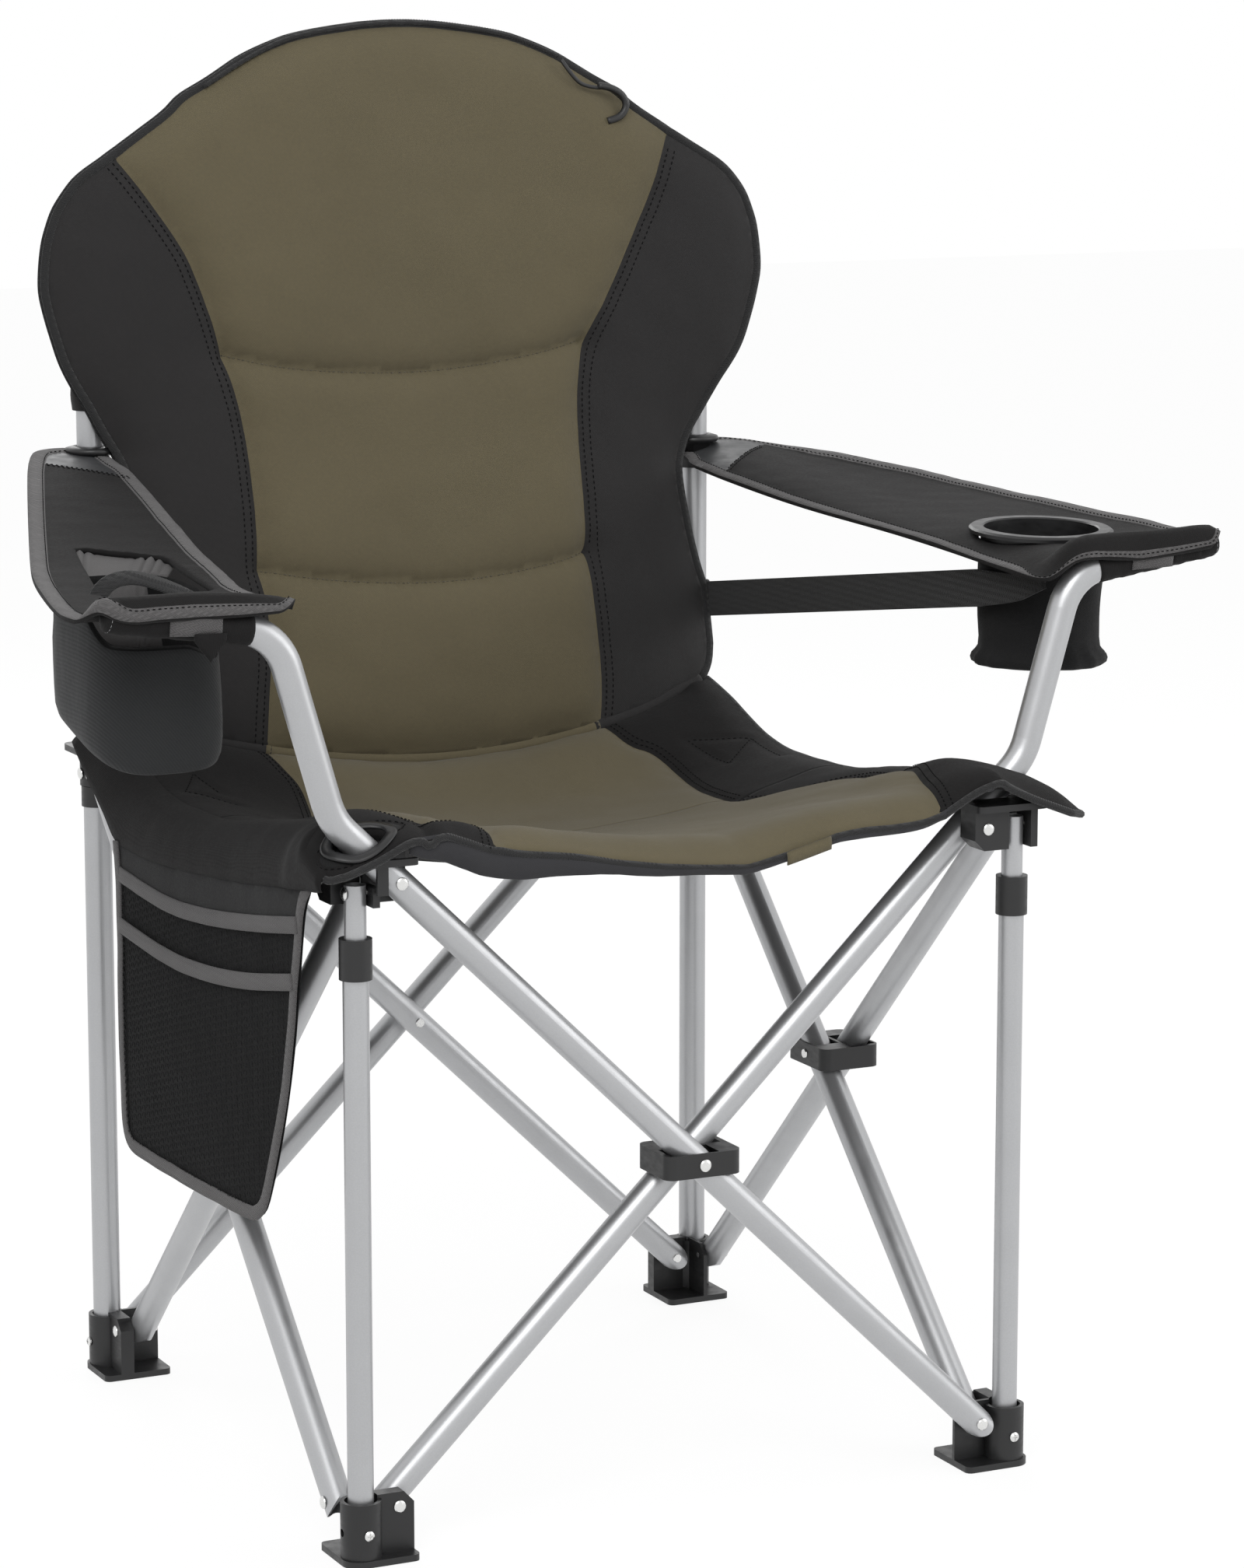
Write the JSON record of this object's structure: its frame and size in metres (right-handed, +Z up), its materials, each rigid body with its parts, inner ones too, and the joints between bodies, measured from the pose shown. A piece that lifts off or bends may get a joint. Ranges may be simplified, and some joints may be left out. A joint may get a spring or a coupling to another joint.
{
  "type": "folding camp chair",
  "caption": "Folding camp chair: tube frame with crossing side struts, padded seat and back, armrests, cup holder, cooler bag and side pocket.",
  "frame": {"origin": "on the floor, at the centre of the four posts", "axes": "+Z up, +X to the sitter's left, -Y to the front"},
  "size_m": [0.937, 0.5941, 1.087],
  "materials": {
    "coated_tube": "satin silver-grey powder coat on round steel tube",
    "black_plastic": "moulded black plastic, lightly textured",
    "bright_steel": "bright domed rivets and cross-head screws",
    "olive_fabric": "olive woven polyester with padding, sewn across",
    "black_fabric": "black woven polyester with grey bound edges",
    "webbing": "black ribbed webbing"
  },
  "bodies": {
    "fl_corner": {"fl_foot": "black_plastic", "fl_foot_fixings": "bright_steel", "fl_lower_post": "coated_tube", "fl_sleeve": "black_plastic"},
    "fr_corner": {"fr_foot": "black_plastic", "fr_foot_fixings": "bright_steel", "fr_lower_post": "coated_tube", "fr_sleeve": "black_plastic"},
    "rr_corner": {"rr_foot": "black_plastic", "rr_foot_fixings": "bright_steel", "rr_lower_post": "coated_tube", "rr_sleeve": "black_plastic"},
    "rl_corner": {"rl_foot": "black_plastic", "rl_foot_fixings": "bright_steel", "rl_lower_post": "coated_tube", "rl_sleeve": "black_plastic"},
    "fl_top": {"fl_top_bracket": "black_plastic", "fl_top_rivets": "bright_steel", "fl_inner_post": "coated_tube", "side_pocket": "black_fabric"},
    "fr_top": {"fr_top_bracket": "black_plastic", "fr_top_rivets": "bright_steel", "fr_inner_post": "coated_tube"},
    "rr_top": {"rr_top_bracket": "black_plastic", "rr_top_rivets": "bright_steel", "rr_inner_rod": "coated_tube", "rr_back_post": "coated_tube"},
    "rl_top": {"rl_top_bracket": "black_plastic", "rl_top_rivets": "bright_steel", "rl_inner_rod": "coated_tube", "rl_back_post": "coated_tube", "back": "olive_fabric"},
    "front_inner_link": {"tube_front_inner": "coated_tube"},
    "front_outer_link": {"tube_front_outer": "coated_tube"},
    "right_inner_link": {"tube_right_inner": "coated_tube"},
    "right_outer_link": {"tube_right_outer": "coated_tube"},
    "left_inner_link": {"tube_left_inner": "coated_tube"},
    "left_outer_link": {"tube_left_outer": "coated_tube"},
    "rear_inner_link": {"tube_rear_inner": "coated_tube", "centre_rivet_rear": "bright_steel"},
    "rear_outer_link": {"tube_rear_outer": "coated_tube"},
    "front_crossing": {"hub_front": "black_plastic", "centre_rivet_front": "bright_steel"},
    "right_crossing": {"hub_right": "black_plastic", "centre_rivet_right": "bright_steel"},
    "left_crossing": {"hub_left": "black_plastic", "centre_rivet_left": "bright_steel"},
    "seat_front_half": {"seat_front": "black_fabric"},
    "seat_rear_half": {"seat_rear": "black_fabric"},
    "right_arm_cloth": {"armrest_right": "black_fabric", "arm_strap": "webbing"},
    "left_arm_cloth": {"armrest_left": "black_fabric", "cooler_bag": "black_fabric"},
    "cup_holder": {"cup_ring": "black_plastic", "cup_pouch": "black_fabric"}
  },
  "joints": [
    {"name": "fold", "type": "hinge", "parent": "fl_corner", "child": "front_inner_link", "pos_m": [-0.2385, -0.248, 0.0385], "axis": [0, -1, 0], "range_deg": [0, 38.8], "deforming": ["seat_front", "seat_rear", "back", "armrest_right", "armrest_left", "arm_strap", "cooler_bag", "side_pocket"]},
    {"name": "front_crossing_pivot", "type": "hinge", "parent": "front_inner_link", "child": "front_outer_link", "pos_m": [0, -0.2735, 0.26875], "axis": [0, 1, 0], "range_deg": [0, 77.6]},
    {"name": "front_hub_pivot", "type": "hinge", "parent": "front_inner_link", "child": "front_crossing", "pos_m": [0, -0.248, 0.26875], "axis": [0, 1, 0], "range_deg": [0, 38.8]},
    {"name": "fr_foot_front_pivot", "type": "hinge", "parent": "front_outer_link", "child": "fr_corner", "pos_m": [0.2385, -0.2735, 0.0385], "axis": [0, -1, 0], "range_deg": [0, 38.8]},
    {"name": "fl_top_front_pivot", "type": "hinge", "parent": "front_outer_link", "child": "fl_top", "pos_m": [-0.2385, -0.2735, 0.499], "axis": [0, -1, 0], "range_deg": [0, 38.8]},
    {"name": "fr_top_front_pivot", "type": "hinge", "parent": "front_inner_link", "child": "fr_top", "pos_m": [0.2385, -0.248, 0.499], "axis": [0, 1, 0], "range_deg": [0, 38.8]},
    {"name": "fl_foot_side_pivot", "type": "hinge", "parent": "fl_corner", "child": "left_outer_link", "pos_m": [-0.2735, -0.2385, 0.0385], "axis": [1, 0, 0], "range_deg": [0, 38.8]},
    {"name": "left_crossing_pivot", "type": "hinge", "parent": "left_outer_link", "child": "left_inner_link", "pos_m": [-0.248, 0, 0.26875], "axis": [-1, 0, 0], "range_deg": [0, 77.6]},
    {"name": "left_hub_pivot", "type": "hinge", "parent": "left_outer_link", "child": "left_crossing", "pos_m": [-0.2735, 0, 0.26875], "axis": [-1, 0, 0], "range_deg": [0, 38.8]},
    {"name": "rl_foot_side_pivot", "type": "hinge", "parent": "left_inner_link", "child": "rl_corner", "pos_m": [-0.248, 0.2385, 0.0385], "axis": [1, 0, 0], "range_deg": [0, 38.8]},
    {"name": "rl_top_side_pivot", "type": "hinge", "parent": "left_outer_link", "child": "rl_top", "pos_m": [-0.2735, 0.2385, 0.499], "axis": [-1, 0, 0], "range_deg": [0, 38.8]},
    {"name": "fr_foot_side_pivot", "type": "hinge", "parent": "fr_corner", "child": "right_inner_link", "pos_m": [0.248, -0.2385, 0.0385], "axis": [1, 0, 0], "range_deg": [0, 38.8]},
    {"name": "right_crossing_pivot", "type": "hinge", "parent": "right_inner_link", "child": "right_outer_link", "pos_m": [0.2735, 0, 0.26875], "axis": [-1, 0, 0], "range_deg": [0, 77.6]},
    {"name": "right_hub_pivot", "type": "hinge", "parent": "right_inner_link", "child": "right_crossing", "pos_m": [0.248, 0, 0.26875], "axis": [-1, 0, 0], "range_deg": [0, 38.8]},
    {"name": "rr_foot_side_pivot", "type": "hinge", "parent": "right_outer_link", "child": "rr_corner", "pos_m": [0.2735, 0.2385, 0.0385], "axis": [1, 0, 0], "range_deg": [0, 38.8]},
    {"name": "rr_top_side_pivot", "type": "hinge", "parent": "right_inner_link", "child": "rr_top", "pos_m": [0.248, 0.2385, 0.499], "axis": [-1, 0, 0], "range_deg": [0, 38.8]},
    {"name": "rr_foot_rear_pivot", "type": "hinge", "parent": "rr_corner", "child": "rear_inner_link", "pos_m": [0.2385, 0.248, 0.0385], "axis": [0, 1, 0], "range_deg": [0, 38.8]},
    {"name": "rear_crossing_pivot", "type": "hinge", "parent": "rear_inner_link", "child": "rear_outer_link", "pos_m": [0, 0.2735, 0.26875], "axis": [0, -1, 0], "range_deg": [0, 77.6]},
    {"name": "seat_front_drape", "type": "hinge", "parent": "fl_top", "child": "seat_front_half", "pos_m": [0, -0.2675, 0.52], "axis": [-1, 0, 0], "range_deg": [0, 74]},
    {"name": "seat_rear_drape", "type": "hinge", "parent": "rl_top", "child": "seat_rear_half", "pos_m": [0, 0.243, 0.536], "axis": [1, 0, 0], "range_deg": [0, 74]},
    {"name": "right_arm_swing", "type": "hinge", "parent": "rr_top", "child": "right_arm_cloth", "pos_m": [0.2675, 0.2675, 0.73], "axis": [0, 0, -1], "range_deg": [0, 28]},
    {"name": "left_arm_swing", "type": "hinge", "parent": "rl_top", "child": "left_arm_cloth", "pos_m": [-0.2675, 0.2675, 0.742], "axis": [0, 0, 1], "range_deg": [0, 28]},
    {"name": "cup_slide", "type": "slide", "parent": "rr_top", "child": "cup_holder", "axis": [-0.0382, 0.9993, 0], "range_m": [0, 0.354]}
  ],
  "couplings": [
    {"joint": "front_crossing_pivot", "follows": "fold", "ratio": 2},
    {"joint": "front_hub_pivot", "follows": "fold", "ratio": 1},
    {"joint": "fr_foot_front_pivot", "follows": "fold", "ratio": 1},
    {"joint": "fl_top_front_pivot", "follows": "fold", "ratio": 1},
    {"joint": "fr_top_front_pivot", "follows": "fold", "ratio": 1},
    {"joint": "fl_foot_side_pivot", "follows": "fold", "ratio": 1},
    {"joint": "left_crossing_pivot", "follows": "fold", "ratio": 2},
    {"joint": "left_hub_pivot", "follows": "fold", "ratio": 1},
    {"joint": "rl_foot_side_pivot", "follows": "fold", "ratio": 1},
    {"joint": "rl_top_side_pivot", "follows": "fold", "ratio": 1},
    {"joint": "fr_foot_side_pivot", "follows": "fold", "ratio": 1},
    {"joint": "right_crossing_pivot", "follows": "fold", "ratio": 2},
    {"joint": "right_hub_pivot", "follows": "fold", "ratio": 1},
    {"joint": "rr_foot_side_pivot", "follows": "fold", "ratio": 1},
    {"joint": "rr_top_side_pivot", "follows": "fold", "ratio": 1},
    {"joint": "rr_foot_rear_pivot", "follows": "fold", "ratio": 1},
    {"joint": "rear_crossing_pivot", "follows": "fold", "ratio": 2},
    {"joint": "seat_front_drape", "follows": "fold", "ratio": 1.9},
    {"joint": "seat_rear_drape", "follows": "fold", "ratio": 1.9},
    {"joint": "right_arm_swing", "follows": "fold", "ratio": 0.72},
    {"joint": "left_arm_swing", "follows": "fold", "ratio": 0.72},
    {"joint": "cup_slide", "follows": "fold", "m_per_rad": 0.5225}
  ]
}
